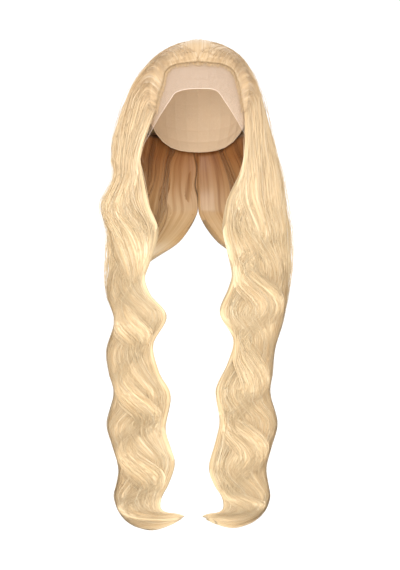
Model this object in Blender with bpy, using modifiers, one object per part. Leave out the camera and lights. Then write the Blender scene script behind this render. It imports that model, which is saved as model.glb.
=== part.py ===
"""Long wavy lace front wig in the form it has when worn: the face looks along -Y and the crown is up.
The origin is the top of the hollow that the head fills. Sizes are in millimetres until a mesh is made."""
import math

import bmesh
import bpy
from mathutils import Vector

MM = 0.001
COLLECTION = "lace_front_wig"

# The head form that the cap fits, a rounded box of revolution about its centre
HEAD_CENTRE = Vector((0.0, 5.0, -88.0))
HEAD_HALF = Vector((75.0, 95.0, 88.0))
HEAD_POWER = 2.3

CAP_WALL = 1.2
LACE_WALL = 1.0
SEAM_GAP_DEG = 0.25         # half the gap between cap and lace, as an angle about the head centre
SEAT_OFFSET = CAP_WALL + 1.3  # inner side of the hair above the head form
PIECE_GAP = 0.35
UNDER_GAP = 3.0             # the nape hair lies this far under the lengths, clear of both facetings

# Lower edge of the cap behind the ears: angle round from the front, height of the edge
CAP_EDGE = {
    "around_deg": (90, 103, 118, 135, 155, 180),
    "z": (-112, -104, -118, -138, -150, -153),
}

# Lower edge of the lace: angle round from the face's middle, height, and how far it stands off the temple
TEMPLE_Z = -100.0
HANG_PER_DEG = 1.5
LACE_EDGE_LEFT = {
    "around_deg": (0, 10, 20, 27, 36, 47, 58, 68, 74, 80, 90),
    "z": (-70, -71, -75, -88, -103, -118, -131, -147, -157, -128, -112),
    "stand_off": (0, 0, 0, 0, 0, 0, 2, 9, 14, 6, 0),
}
LACE_EDGE_RIGHT = {
    "around_deg": (0, 10, 17, 25, 34, 45, 56, 64, 72, 80, 90),
    "z": (-70, -70, -73, -88, -104, -120, -131, -144, -160, -130, -112),
    "stand_off": (0, 0, 0, 0, 0, 0, 0, 0, -1, 0, 0),
}

# Hairline and root line of each side: share of the way round to the back, point across and height
HAIRLINE_LEFT = {
    "share": (0.00, 0.10, 0.20, 0.29, 0.38, 0.50),
    "x": (61.0, 56.5, 50.0, 46.0, 33.0, 0.0),
    "z": (-104, -82, -61, -43, -34.5, -31.5),
}
HAIRLINE_RIGHT = {
    "share": (0.00, 0.10, 0.20, 0.29, 0.38, 0.50),
    "x": (66.0, 62.0, 57.0, 50.0, 33.0, 0.0),
    "z": (-102, -78, -57, -41, -33.5, -31.5),
}
BACK_ROOT = 0.70            # the last root on the midline behind, as a share of the dome
DOME_END_DEG = 100.0        # the crown hair ends this far round from the top
LIFT = {
    "share": (0.0, 0.12, 0.30, 0.50, 0.75, 1.0),
    "side": (0.0, 0.01, 0.02, 0.10, 0.22, 0.0),
    "back": (0.05, 0.20, 0.40, 0.42, 0.30, 0.15),
}

# Depth of the hair over the head form: angle from the top, and depth at each side
CROWN_DEPTH = {
    "angle_deg": (0, 30, 45, 60, 75, 90, 100),
    "left": (10.5, 11.5, 15.5, 21.0, 29.5, 40.5, 53.0),
    "right": (10.5, 12.5, 15.0, 17.0, 20.5, 26.5, 32.0),
    "front": (10.5, 11.5, 11.0, 10.0, 10.0, 12.0, 14.0),
    "back": (10.5, 12.0, 14.0, 16.0, 18.0, 19.0, 19.0),
}

# The hanging lengths, a row for each wave or waist. in: edge by the face, out: outer edge
LENGTHS_LEFT = {
    "z_in": (-127, -155, -190, -239, -280, -330, -349, -372, -406, -450, -487, -525, -571, -600,
             -622, -655, -674, -686, -693, -696, -697, -699),
    "x_in": (74, 90, 85, 74, 60, 74, 80, 72, 46, 67, 58, 40, 48, 40,
             34, 44, 54, 56, 52, 42, 32, 24),
    "z_out": (-127, -155, -199, -239, -289, -330, -358, -380, -414, -460, -492, -518, -565, -600,
              -632, -655, -672, -688, -703, -716, -722, -714),
    "x_out": (130, 134, 127, 145, 134, 136, 137, 135, 124, 137, 132, 124, 136, 126,
              117, 121, 125, 121, 112, 94, 68, 40),
}
LENGTHS_RIGHT = {
    "z_in": (-127, -155, -190, -239, -275, -310, -343, -365, -399, -442, -475, -517, -560, -590,
             -628, -655, -674, -686, -693, -696, -697, -699),
    "x_in": (74, 72, 64, 42, 37, 44, 51, 45, 32, 53, 44, 26, 32, 26,
             16, 24, 36, 38, 35, 26, 17, 10),
    "z_out": (-127, -155, -199, -239, -289, -330, -358, -380, -414, -460, -492, -518, -565, -600,
              -632, -655, -672, -688, -701, -713, -719, -712),
    "x_out": (112, 118, 127, 133, 138, 138, 136, 134, 127, 114, 111, 107, 118, 109,
              101, 104, 107, 103, 94, 76, 52, 24),
}
# Places from front to back of the same rows, the turn of the back end, and the thickness of the hair
LENGTHS_DEPTH = {
    "y_in": (-42, -36, -36, -48, -56, -64, -66, -68, -72, -74, -76, -78, -78, -78,
             -78, -78, -78, -78, -78, -78, -78, -78),
    "y_side": (5, 5, 3, -2, -12, -26, -34, -40, -48, -52, -54, -55, -56, -56,
               -57, -57, -58, -60, -62, -65, -68, -72),
    "y_back": (119, 118, 114, 106, 92, 66, 50, 36, 14, -8, -20, -28, -32, -34,
               -36, -38, -40, -44, -50, -56, -62, -68),
    "turn": (1.0, 1.0, 1.0, 1.0, 0.93, 0.78, 0.70, 0.64, 0.58, 0.55, 0.54, 0.53, 0.53, 0.53,
             0.53, 0.53, 0.53, 0.52, 0.51, 0.50, 0.50, 0.50),
    "thick_side": (32, 32, 31, 30, 30, 29, 29, 28, 28, 28, 28, 28, 27, 27,
                   26, 25, 24, 22, 19, 15, 10, 4),
    "thick_back": (12, 13, 14, 16, 18, 20, 22, 24, 26, 28, 28, 28, 27, 27,
                   26, 25, 24, 22, 19, 15, 10, 4),
}
FULLNESS = {"left": 1.0, "right": 0.86}     # thickness beside the face, against the table
LENGTH_STEPS = 39           # rows of faces down each length
CROWN_STEPS = 14            # rows of faces from root to the crown's lower edge
COLUMNS = 16                # columns of faces round each side
LOCKS = 4                   # raised locks round each side
LOCK_DEPTH = 0.24           # depth of the furrow between locks, as a share of the thickness
LOCK_SWING = 0.07           # how far a lock swings to each side, as a share of the way round
# Heights at which the locks swing farthest out and nearest the midline, in turn
LOCK_TURNS_Z = {
    "left": (-200, -280, -349, -406, -457, -526, -571, -622, -674, -716),
    "right": (-200, -270, -343, -399, -442, -517, -562, -628, -674, -716),
}
SWING_FROM_Z = (-130.0, -260.0)
EDGE_THICK = 4.0
WAVE_LENGTH = 105.0         # body wave from crest to crest
WAVE_DEPTH = 6.0            # how far a crest stands forward of the hanging line
WAVE_FROM_Z = (-150.0, -300.0)
WAVE_CREST_Z = -306.0
FLAT_SECTION_Z = (-300.0, -400.0)   # the wrap round the neck turns to a flat hanging panel between these

# The nape hair lies inside the lengths: its front edge round from the middle, how far it shows past them
NAPE_HAIR = {
    "z": (-120, -150, -175, -215, -255, -300, -365, -430, -500, -570, -640, -690),
    "front_turn": (0.56, 0.50, 0.36, 0.22, 0.17, 0.18, 0.215, 0.18, 0.16, 0.145, 0.14, 0.17),
    "thick": (6, 11, 14, 16, 17, 18, 18, 17, 16, 15, 11, 3),
}
NAPE_COLUMNS = 9
NAPE_STEPS = 26

MATERIALS = {
    "blond_hair": ((0.80, 0.62, 0.33), 0.42),
    "shaded_hair": ((0.58, 0.38, 0.17), 0.50),
    "swiss_lace": ((0.86, 0.66, 0.55), 0.80),
    "cap_net": ((0.72, 0.52, 0.36), 0.85),
}


def table(rows, key, column, value):
    """A smooth monotone-looking value read from a table, flat past its ends."""
    keys, values = rows[key], rows[column]
    rising = keys[-1] > keys[0]
    order = list(zip(keys, values)) if rising else list(zip(keys, values))[::-1]
    xs = [float(k) for k, _ in order]
    ys = [float(v) for _, v in order]
    if value <= xs[0]:
        return ys[0]
    if value >= xs[-1]:
        return ys[-1]
    i = max(k for k in range(len(xs) - 1) if xs[k] <= value)
    return hermite(xs, ys, i, value)


def hermite(xs, ys, i, value):
    """Cubic between two rows with slopes from the neighbours, held flat at a wave's peak."""
    def slope(k):
        if k == 0 or k == len(xs) - 1:
            return 0.0
        before = (ys[k] - ys[k - 1]) / (xs[k] - xs[k - 1])
        after = (ys[k + 1] - ys[k]) / (xs[k + 1] - xs[k])
        if before * after <= 0.0:
            return 0.0
        return 2.0 * before * after / (before + after)

    width = xs[i + 1] - xs[i]
    u = (value - xs[i]) / width
    a, b = slope(i) * width, slope(i + 1) * width
    return ((2 * u**3 - 3 * u**2 + 1) * ys[i] + (u**3 - 2 * u**2 + u) * a
            + (3 * u**2 - 2 * u**3) * ys[i + 1] + (u**3 - u**2) * b)


def by_row(rows, column, place):
    """A value of the lengths' tables, place counting the rows from 0."""
    numbered = {"row": tuple(range(len(rows[column]))), column: rows[column]}
    return table(numbered, "row", column, place)


def blend(low, high, value):
    u = min(1.0, max(0.0, (value - low) / (high - low)))
    return u * u * (3.0 - 2.0 * u)


def direction(angle_deg, around_deg):
    """Unit vector from the head centre: angle from the top, and turn from the face to +X."""
    angle, around = math.radians(angle_deg), math.radians(around_deg)
    return Vector((math.sin(angle) * math.sin(around), -math.sin(angle) * math.cos(around), math.cos(angle)))


def head_reach(unit, offset=0.0):
    """Distance from the head centre to the head form, grown by an offset."""
    total = sum(abs(unit[k] / (HEAD_HALF[k] + offset)) ** HEAD_POWER for k in range(3))
    return total ** (-1.0 / HEAD_POWER)


def on_head(x, z):
    """Point on the face's side of the head form at a place across and a height."""
    left = 1.0 - abs(x / HEAD_HALF.x) ** HEAD_POWER - abs((z - HEAD_CENTRE.z) / HEAD_HALF.z) ** HEAD_POWER
    return Vector((x, HEAD_CENTRE.y - HEAD_HALF.y * max(left, 0.0) ** (1.0 / HEAD_POWER), z))


def angle_at_height(around_deg, z):
    """Angle from the top at which the head form reaches a height."""
    low, high = 5.0, 150.0
    for _ in range(40):
        middle = 0.5 * (low + high)
        unit = direction(middle, around_deg)
        if HEAD_CENTRE.z + unit.z * head_reach(unit) > z:
            low = middle
        else:
            high = middle
    return 0.5 * (low + high)


def material(name):
    colour, roughness = MATERIALS[name]
    made = bpy.data.materials.get(name) or bpy.data.materials.new(name)
    made.use_nodes = True
    shader = made.node_tree.nodes["Principled BSDF"]
    shader.inputs["Base Color"].default_value = (*colour, 1.0)
    shader.inputs["Roughness"].default_value = roughness
    shader.inputs["Metallic"].default_value = 0.0
    return made


def finish_object(bm, name, material_name, collection, smooth_deg=50.0):
    mesh = bpy.data.meshes.new(name)
    bm.to_mesh(mesh)
    bm.free()
    mesh.materials.append(material(material_name))
    mesh.shade_smooth()
    mesh.set_sharp_from_angle(angle=math.radians(smooth_deg))
    made = bpy.data.objects.new(name, mesh)
    collection.objects.link(made)
    return made


def grid_faces(bm, rows):
    for upper, lower in zip(rows, rows[1:]):
        for k in range(len(upper) - 1):
            corners = (upper[k], upper[k + 1], lower[k + 1], lower[k])
            if len(set(corners)) == 4:
                bm.faces.new(corners)


def close_rim(bm, outer, inner):
    for k in range(len(outer) - 1):
        bm.faces.new((outer[k], outer[k + 1], inner[k + 1], inner[k]))


def add_rows(bm, points):
    return [[bm.verts.new(p * MM) for p in row] for row in points]


def closed_band(name, outer, inner, material_name, collection):
    """Solid between an outer and an inner grid of points with all four rims closed."""
    bm = bmesh.new()
    out_rows, in_rows = add_rows(bm, outer), add_rows(bm, inner)
    grid_faces(bm, out_rows)
    grid_faces(bm, [row[::-1] for row in in_rows])
    close_rim(bm, out_rows[0], in_rows[0])
    close_rim(bm, out_rows[-1], in_rows[-1])
    close_rim(bm, [row[0] for row in out_rows], [row[0] for row in in_rows])
    close_rim(bm, [row[-1] for row in out_rows], [row[-1] for row in in_rows])
    bmesh.ops.recalc_face_normals(bm, faces=bm.faces)
    return finish_object(bm, name, material_name, collection)


def wall(name, points, thickness, material_name, collection):
    """Open surface of points with its outer side away from the head, thickened outwards."""
    bm = bmesh.new()
    rows = add_rows(bm, points)
    grid_faces(bm, rows)
    bmesh.ops.remove_doubles(bm, verts=bm.verts, dist=1e-6)
    bmesh.ops.recalc_face_normals(bm, faces=bm.faces)
    bm.faces.ensure_lookup_table()
    some = bm.faces[len(bm.faces) // 2]
    if some.normal.dot(some.calc_center_median() - HEAD_CENTRE * MM) < 0.0:
        bmesh.ops.reverse_faces(bm, faces=bm.faces)
    made = finish_object(bm, name, material_name, collection)
    solid = made.modifiers.new("wall", "SOLIDIFY")
    solid.thickness = thickness * MM
    solid.offset = 1.0
    solid.use_even_offset = True
    return made


def make_cap(collection):
    columns, rows = 16, 11
    points = []
    for j in range(rows + 1):
        row = []
        for k in range(columns + 1):
            around = 90.0 + SEAM_GAP_DEG + (180.0 - 2 * SEAM_GAP_DEG) * k / columns
            fold = around if around <= 180.0 else 360.0 - around
            lowest = angle_at_height(around, table(CAP_EDGE, "around_deg", "z", fold))
            unit = direction(SEAM_GAP_DEG + (lowest - SEAM_GAP_DEG) * j / rows, around)
            row.append(HEAD_CENTRE + unit * head_reach(unit))
        points.append(row)
    return wall("wig_cap", points, CAP_WALL, "cap_net", collection)


def lace_point(around_deg, share):
    """Point of the lace: over the brow it lies on the head form, below the temple it hangs straight."""
    edge = LACE_EDGE_RIGHT if around_deg > 0.0 else LACE_EDGE_LEFT
    lowest_z = table(edge, "around_deg", "z", abs(around_deg))
    off = table(edge, "around_deg", "stand_off", abs(around_deg))
    leaves = angle_at_height(around_deg, max(lowest_z, TEMPLE_Z))
    hanging = max(0.0, TEMPLE_Z - lowest_z)
    travelled = share * (leaves + hanging / HANG_PER_DEG)
    unit = direction(min(travelled, leaves), around_deg)
    point = HEAD_CENTRE + unit * head_reach(unit)
    point.z -= max(0.0, travelled - leaves) * HANG_PER_DEG
    level = Vector((unit.x, unit.y, 0.0)).normalized()
    return point + level * off * blend(TEMPLE_Z - 8.0, min(lowest_z, TEMPLE_Z - 20.0), point.z)


def make_lace(collection):
    columns, rows = 28, 12
    points = []
    for j in range(rows + 1):
        row = []
        for k in range(columns + 1):
            around = (-90.0 + SEAM_GAP_DEG) + (180.0 - 2 * SEAM_GAP_DEG) * k / columns
            share = (SEAM_GAP_DEG + (90.0 - SEAM_GAP_DEG) * j / rows) / 90.0
            row.append(lace_point(around, share))
        points.append(row)
    return wall("lace_front", points, LACE_WALL, "swiss_lace", collection)


def dome_place(hairline, share, step):
    """Place on the dome's flat chart of a lock, from its root at step 0 to the crown's edge at step 1."""
    first = head_chart(hairline, 0.0)
    front_turn = math.degrees(math.atan2(first.x, -first.y))
    around = math.radians(front_turn + (180.0 - front_turn) * share)
    end = Vector((math.sin(around), -math.cos(around)))
    if share <= 0.5:
        root = head_chart(hairline, share)
    else:
        start = head_chart(hairline, 0.5).y
        root = Vector((0.0, start + (BACK_ROOT - start) * (share - 0.5) / 0.5))
    bend = root + Vector((table(LIFT, "share", "side", share), table(LIFT, "share", "back", share)))
    if share == 1.0:
        end.x = 0.0
    return root * (1 - step) ** 2 + bend * 2 * step * (1 - step) + end * step**2


def head_chart(hairline, share):
    point = on_head(table(hairline, "share", "x", share), table(hairline, "share", "z", share))
    unit = (point - HEAD_CENTRE).normalized()
    flat = Vector((unit.x, unit.y))
    angle = math.degrees(math.acos(unit.z)) / DOME_END_DEG
    return flat.normalized() * angle


def crown_depth(angle_deg, around_deg, side):
    across = math.sin(math.radians(around_deg)) ** 2
    fore = "front" if around_deg < 90.0 else "back"
    return (table(CROWN_DEPTH, "angle_deg", side, angle_deg) * across
            + table(CROWN_DEPTH, "angle_deg", fore, angle_deg) * (1.0 - across))


def lock_form(share):
    """1 on the back of a lock, less in the furrow between two."""
    return 1.0 - LOCK_DEPTH * (1.0 - abs(math.sin(math.pi * LOCKS * share)))


def lock_swing(side, share, z):
    """How far round a lock has swung at a height, as a share of the way round."""
    turns = LOCK_TURNS_Z[side]
    passed = sum(1 for turn_z in turns if turn_z > z)
    i = min(max(passed - 1, 0), len(turns) - 2)
    phase = math.pi * (i + (turns[i] - z) / (turns[i + 1] - turns[i]))
    return LOCK_SWING * blend(*SWING_FROM_Z, z) * math.sin(math.pi * share) * math.cos(phase)


def crown_pair(side, share, step):
    """Outer and inner point of the crown hair, for the side of positive X."""
    hairline = HAIRLINE_LEFT if side == "left" else HAIRLINE_RIGHT
    flat = dome_place(hairline, share, step)
    angle = min(flat.length, 1.0) * DOME_END_DEG
    around = math.degrees(math.atan2(flat.x, -flat.y))
    unit = direction(angle, around)
    seat = head_reach(unit, SEAT_OFFSET)
    full = head_reach(unit) + crown_depth(angle, around, side) - seat
    if share <= 0.5:
        edge = blend(-0.02, 0.22, step) * (1.0 - blend(0.42, 0.5, share)) + blend(-0.10, 0.12, step) * blend(
            0.42, 0.5, share)
        full = EDGE_THICK * 0.5 + (full - EDGE_THICK * 0.5) * max(edge, 0.0)
    front_edge = blend(-0.02, 0.16, share)
    full = EDGE_THICK * 0.5 + (full - EDGE_THICK * 0.5) * max(front_edge, 0.0)
    most = length_thickness(side, share, 0.0)
    lift = max(0.0, full - most) * blend(76.0, DOME_END_DEG, angle)
    furrow = 1.0 - (1.0 - lock_form(share)) * blend(0.05, 0.4, step)
    outer = seat + lift + (full - lift) * furrow
    return HEAD_CENTRE + unit * outer, HEAD_CENTRE + unit * (seat + lift)


def mirrored(point, side):
    return Vector((-point.x, point.y, point.z)) if side == "left" else point


def make_crown(collection):
    bm = bmesh.new()
    for side in ("left", "right"):
        outer, inner = [], []
        for j in range(CROWN_STEPS + 1):
            pairs = [crown_pair(side, k / COLUMNS, j / CROWN_STEPS) for k in range(COLUMNS + 1)]
            outer.append([mirrored(pair[0], side) for pair in pairs])
            inner.append([mirrored(pair[1], side) for pair in pairs])
        out_rows, in_rows = add_rows(bm, outer), add_rows(bm, inner)
        grid_faces(bm, out_rows)
        grid_faces(bm, [row[::-1] for row in in_rows])
        half = COLUMNS // 2
        close_rim(bm, out_rows[0][:half + 1], in_rows[0][:half + 1])
        close_rim(bm, [row[0] for row in out_rows], [row[0] for row in in_rows])
        close_rim(bm, out_rows[-1], in_rows[-1])
    bmesh.ops.remove_doubles(bm, verts=bm.verts, dist=2e-5)
    bmesh.ops.recalc_face_normals(bm, faces=bm.faces)
    return finish_object(bm, "crown_hair", "blond_hair", collection)


def length_thickness(side, share, place):
    across = math.sin(math.pi * share) ** 2 if share > 0.5 else 1.0
    beside = by_row(LENGTHS_DEPTH, "thick_side", place) * FULLNESS[side]
    behind = by_row(LENGTHS_DEPTH, "thick_back", place)
    thick = beside * across + behind * (1.0 - across)
    thick *= blend(-0.05, 0.22, share)
    loose_end = 1.0 - by_row(LENGTHS_DEPTH, "turn", place)
    if loose_end > 0.0:
        end = blend(-0.05, 0.25, 1.0 - share)
        thick *= 1.0 - (1.0 - end) * blend(0.0, 0.2, loose_end)
    return max(thick, EDGE_THICK)


def length_point(side, place, share, depth, turn_from=None):
    """Point of the hanging lengths: place down the rows, share round from the face, depth under the surface."""
    rows = LENGTHS_LEFT if side == "left" else LENGTHS_RIGHT
    x_in, x_out = by_row(rows, "x_in", place), by_row(rows, "x_out", place)
    z_in, z_out = by_row(rows, "z_in", place), by_row(rows, "z_out", place)
    y_in, y_side = by_row(LENGTHS_DEPTH, "y_in", place), by_row(LENGTHS_DEPTH, "y_side", place)
    y_back = by_row(LENGTHS_DEPTH, "y_back", place)
    front = math.asin(min(0.98, x_in / x_out)) if turn_from is None else math.pi * turn_from
    last = math.pi * by_row(LENGTHS_DEPTH, "turn", place)
    edge = math.asin(min(0.98, x_in / x_out))
    turn = front + (last - front) * share
    reach = (y_side - y_in) / math.cos(edge)
    if turn > math.pi / 2:
        reach = y_back - y_side
    along = min(1.0, max(0.0, (turn - edge) / (last - edge)))
    z = z_in + (z_out - z_in) * along
    flat = blend(FLAT_SECTION_Z[0], FLAT_SECTION_Z[1], z)
    inward = Vector((-math.sin(turn) * (1 - 0.85 * flat), math.cos(turn) * (1 - flat) + flat, 0.0))
    wave = WAVE_DEPTH * blend(WAVE_FROM_Z[0], WAVE_FROM_Z[1], z)
    forward = wave * math.cos(2.0 * math.pi * (z - WAVE_CREST_Z) / WAVE_LENGTH)
    surface = Vector((x_out * math.sin(turn), y_side - reach * math.cos(turn) - forward, z))
    return surface + inward * depth


def length_grids(side):
    """Outer and inner grid of one side's lengths; the first row meets the crown's lower edge."""
    drop = Vector((0.0, 0.0, -PIECE_GAP))
    first = [crown_pair(side, k / COLUMNS, 1.0) for k in range(COLUMNS + 1)]
    outer, inner = [[p[0] + drop for p in first]], [[p[1] + drop for p in first]]
    last_row = len(LENGTHS_DEPTH["turn"]) - 1
    for j in range(LENGTH_STEPS + 1):
        place = last_row * j / LENGTH_STEPS
        out_row, in_row = [], []
        for k in range(COLUMNS + 1):
            share = k / COLUMNS
            thick = length_thickness(side, share, place)
            z = length_point(side, place, share, 0.0).z
            furrow = thick * (1.0 - lock_form(share - lock_swing(side, share, z)))
            out_row.append(length_point(side, place, share, furrow))
            in_row.append(length_point(side, place, share, thick))
        outer.append(out_row)
        inner.append(in_row)
    return outer, inner


def make_lengths(side, collection):
    outer, inner = length_grids(side)
    middle_gap = PIECE_GAP / 2
    for grid in (outer, inner):
        for row in grid:
            for point in row:
                point.x = max(point.x, middle_gap)
    outer = [[mirrored(p, side) for p in row] for row in outer]
    inner = [[mirrored(p, side) for p in row] for row in inner]
    return closed_band(side + "_lengths", outer, inner, "blond_hair", collection)


def outside_cap(point):
    """The point, moved out where it would enter the cap."""
    ray = point - HEAD_CENTRE
    least = head_reach(ray.normalized(), SEAT_OFFSET)
    return HEAD_CENTRE + ray.normalized() * max(ray.length, least)


def make_nape_hair(side, collection):
    rows = LENGTHS_LEFT if side == "left" else LENGTHS_RIGHT
    heights = rows["z_out"]
    outer, inner = [], []
    last_row = len(heights) - 5
    for j in range(NAPE_STEPS + 1):
        place = last_row * j / NAPE_STEPS
        z = by_row(rows, "z_out", place)
        turn_from = table(NAPE_HAIR, "z", "front_turn", z)
        thick_here = table(NAPE_HAIR, "z", "thick", z)
        out_row, in_row = [], []
        for k in range(NAPE_COLUMNS + 1):
            share = k / NAPE_COLUMNS
            turn_last = by_row(LENGTHS_DEPTH, "turn", place)
            turn = turn_from + (turn_last - turn_from) * share
            edge = math.asin(min(0.98, by_row(rows, "x_in", place) / by_row(rows, "x_out", place))) / math.pi
            over = min(1.0, max(0.0, (turn - edge) / (turn_last - edge)))
            top = length_thickness(side, over, place) + UNDER_GAP
            ends = min(blend(-0.1, 0.25, share), 1.0 if turn_last > 0.99 else blend(-0.1, 0.25, 1.0 - share))
            thick = max(3.0, thick_here * ends)
            furrow = 0.2 * thick * (1.0 - abs(math.sin(math.pi * 3 * share)))
            out_row.append(length_point(side, place, share, top + furrow, turn_from))
            in_row.append(length_point(side, place, share, top + thick, turn_from))
        outer.append(out_row)
        inner.append(in_row)
    for grid in (outer, inner):
        for row in grid:
            for k, point in enumerate(row):
                point = outside_cap(point) if point.z > -165.0 else point
                point.x = max(point.x, PIECE_GAP / 2)
                row[k] = mirrored(point, side)
    return closed_band(side + "_nape_hair", outer, inner, "shaded_hair", collection)


def main():
    for old in list(bpy.data.objects):
        bpy.data.objects.remove(old, do_unlink=True)
    collection = bpy.data.collections.new(COLLECTION)
    bpy.context.scene.collection.children.link(collection)
    make_cap(collection)
    make_lace(collection)
    make_crown(collection)
    for side in ("left", "right"):
        make_lengths(side, collection)
        make_nape_hair(side, collection)


main()
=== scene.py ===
"""Looks of the long wavy lace front wig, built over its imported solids.
The front looks along -Y and the crown is up. Sizes are in millimetres until a mesh is made."""
import math

import bmesh
import bpy
import numpy as np
from mathutils import Matrix, Vector


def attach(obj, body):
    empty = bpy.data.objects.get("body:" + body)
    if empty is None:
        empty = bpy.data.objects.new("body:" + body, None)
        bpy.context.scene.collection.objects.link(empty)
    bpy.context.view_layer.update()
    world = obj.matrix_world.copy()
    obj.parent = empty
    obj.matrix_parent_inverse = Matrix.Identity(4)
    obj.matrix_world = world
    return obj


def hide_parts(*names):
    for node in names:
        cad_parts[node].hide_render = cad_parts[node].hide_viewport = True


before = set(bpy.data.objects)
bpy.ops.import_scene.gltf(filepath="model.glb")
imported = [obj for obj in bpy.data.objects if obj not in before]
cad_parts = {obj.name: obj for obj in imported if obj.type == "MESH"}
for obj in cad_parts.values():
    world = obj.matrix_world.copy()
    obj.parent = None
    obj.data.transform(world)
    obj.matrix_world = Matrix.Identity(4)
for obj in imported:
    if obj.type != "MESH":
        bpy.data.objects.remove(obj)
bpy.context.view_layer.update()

MM = 0.001
SEED = 7

# The dome that the cap is shaped on
DOME_CENTRE = Vector((0.0, 5.0, -88.0))
DOME_HALF = Vector((75.0, 95.0, 88.0))
DOME_POWER = 2.3
CAP_WALL = 1.2
LACE_WALL = 1.0
SEAT_OFFSET = CAP_WALL + 1.3

# The lace and the cap's net
LACE_TURN_DEG = 89.5  # how far round from the front the lace goes, to each side
LACE_TOP = 0.02
LACE_RADIUS = 85.0  # radius that its map is laid out on
LACE_CELLS = 0.55  # cells of the net to a millimetre
NET_ROWS = 160.0  # wave scale that sets the cap's knitted rows 2 mm apart
NET_CELLS = 650.0  # cells to a metre, 1.5 mm each, coarser than real so that they show

TEMPLE_Z = -100.0
HANG_PER_DEG = 1.5
LACE_EDGE = {
    "left": {
        "around_deg": (0, 10, 20, 27, 36, 47, 58, 68, 74, 80, 90),
        "z": (-70, -71, -75, -88, -103, -118, -131, -147, -157, -128, -112),
        "stand_off": (0, 0, 0, 0, 0, 0, 2, 9, 14, 6, 0),
    },
    "right": {
        "around_deg": (0, 10, 17, 25, 34, 45, 56, 64, 72, 80, 90),
        "z": (-70, -70, -73, -88, -104, -120, -131, -144, -160, -130, -112),
        "stand_off": (0, 0, 0, 0, 0, 0, 0, 0, -1, 0, 0),
    },
}

# Hairline and root line of each side: share of the way round to the back, point across and height
HAIRLINE = {
    "left": {
        "share": (0.00, 0.10, 0.20, 0.29, 0.38, 0.50),
        "x": (61.0, 56.5, 50.0, 46.0, 33.0, 0.0),
        "z": (-104, -82, -61, -43, -34.5, -31.5),
    },
    "right": {
        "share": (0.00, 0.10, 0.20, 0.29, 0.38, 0.50),
        "x": (66.0, 62.0, 57.0, 50.0, 33.0, 0.0),
        "z": (-102, -78, -57, -41, -33.5, -31.5),
    },
}
BACK_ROOT = 0.70
DOME_END_DEG = 100.0
LIFT = {
    "share": (0.0, 0.12, 0.30, 0.50, 0.75, 1.0),
    "side": (0.0, 0.01, 0.02, 0.10, 0.22, 0.0),
    "back": (0.05, 0.20, 0.40, 0.42, 0.30, 0.15),
}

# Depth of the hair over the dome: angle from the top, and depth at each side
CROWN_DEPTH = {
    "angle_deg": (0, 30, 45, 60, 75, 90, 100),
    "left": (10.5, 11.5, 15.5, 21.0, 29.5, 40.5, 53.0),
    "right": (10.5, 12.5, 15.0, 17.0, 20.5, 26.5, 32.0),
    "front": (10.5, 11.5, 11.0, 10.0, 10.0, 12.0, 14.0),
    "back": (10.5, 12.0, 14.0, 16.0, 18.0, 19.0, 19.0),
}

# The hanging lengths, a row for each wave or waist. in: front edge, out: outer edge
LENGTHS = {
    "left": {
        "z_in": (-127, -155, -190, -239, -280, -330, -349, -372, -406, -450, -487, -525, -571, -600,
                 -622, -655, -674, -686, -693, -696, -697, -699, -701),
        "x_in": (74, 90, 85, 74, 60, 74, 80, 72, 46, 67, 58, 40, 48, 40,
                 34, 44, 54, 56, 52, 42, 32, 24, 19),
        "z_out": (-127, -155, -199, -239, -289, -330, -358, -380, -414, -460, -492, -518, -565, -600,
                  -632, -655, -672, -688, -703, -716, -722, -714, -704),
        "x_out": (130, 134, 127, 145, 134, 136, 137, 135, 124, 137, 132, 124, 136, 126,
                  117, 121, 125, 121, 112, 94, 68, 40, 23),
    },
    "right": {
        "z_in": (-127, -155, -190, -239, -275, -310, -343, -365, -399, -442, -475, -517, -560, -590,
                 -628, -655, -674, -686, -693, -696, -697, -699, -701),
        "x_in": (74, 72, 64, 42, 37, 44, 51, 45, 32, 53, 44, 26, 32, 26,
                 16, 24, 36, 38, 35, 26, 17, 10, 6),
        "z_out": (-127, -155, -199, -239, -289, -330, -358, -380, -414, -460, -492, -518, -565, -600,
                  -632, -655, -672, -688, -701, -713, -719, -712, -704),
        "x_out": (112, 118, 127, 133, 138, 138, 136, 134, 127, 114, 111, 107, 118, 109,
                  101, 104, 107, 103, 94, 76, 52, 24, 9),
    },
}
DEPTHS = {
    "y_in": (-42, -36, -36, -48, -56, -64, -66, -68, -72, -74, -76, -78, -78, -78,
             -78, -78, -78, -78, -78, -78, -78, -78, -78),
    "y_side": (5, 5, 3, -2, -12, -26, -34, -40, -48, -52, -54, -55, -56, -56,
               -57, -57, -58, -60, -62, -65, -68, -72, -75),
    "y_back": (119, 118, 114, 106, 92, 66, 50, 36, 14, -8, -20, -28, -32, -34,
               -36, -38, -40, -44, -50, -56, -62, -68, -72),
    "turn": (1.0, 1.0, 1.0, 1.0, 0.93, 0.78, 0.70, 0.64, 0.58, 0.55, 0.54, 0.53, 0.53, 0.53,
             0.53, 0.53, 0.53, 0.52, 0.51, 0.50, 0.50, 0.50, 0.50),
    "thick_side": (32, 32, 31, 30, 30, 29, 29, 28, 28, 28, 28, 28, 27, 27,
                   26, 25, 24, 22, 19, 15, 10, 6, 3),
    "thick_back": (12, 13, 14, 16, 18, 20, 22, 24, 26, 28, 28, 28, 27, 27,
                   26, 25, 24, 22, 19, 15, 10, 6, 3),
}
FULLNESS = {"left": 1.0, "right": 0.86}

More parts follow.
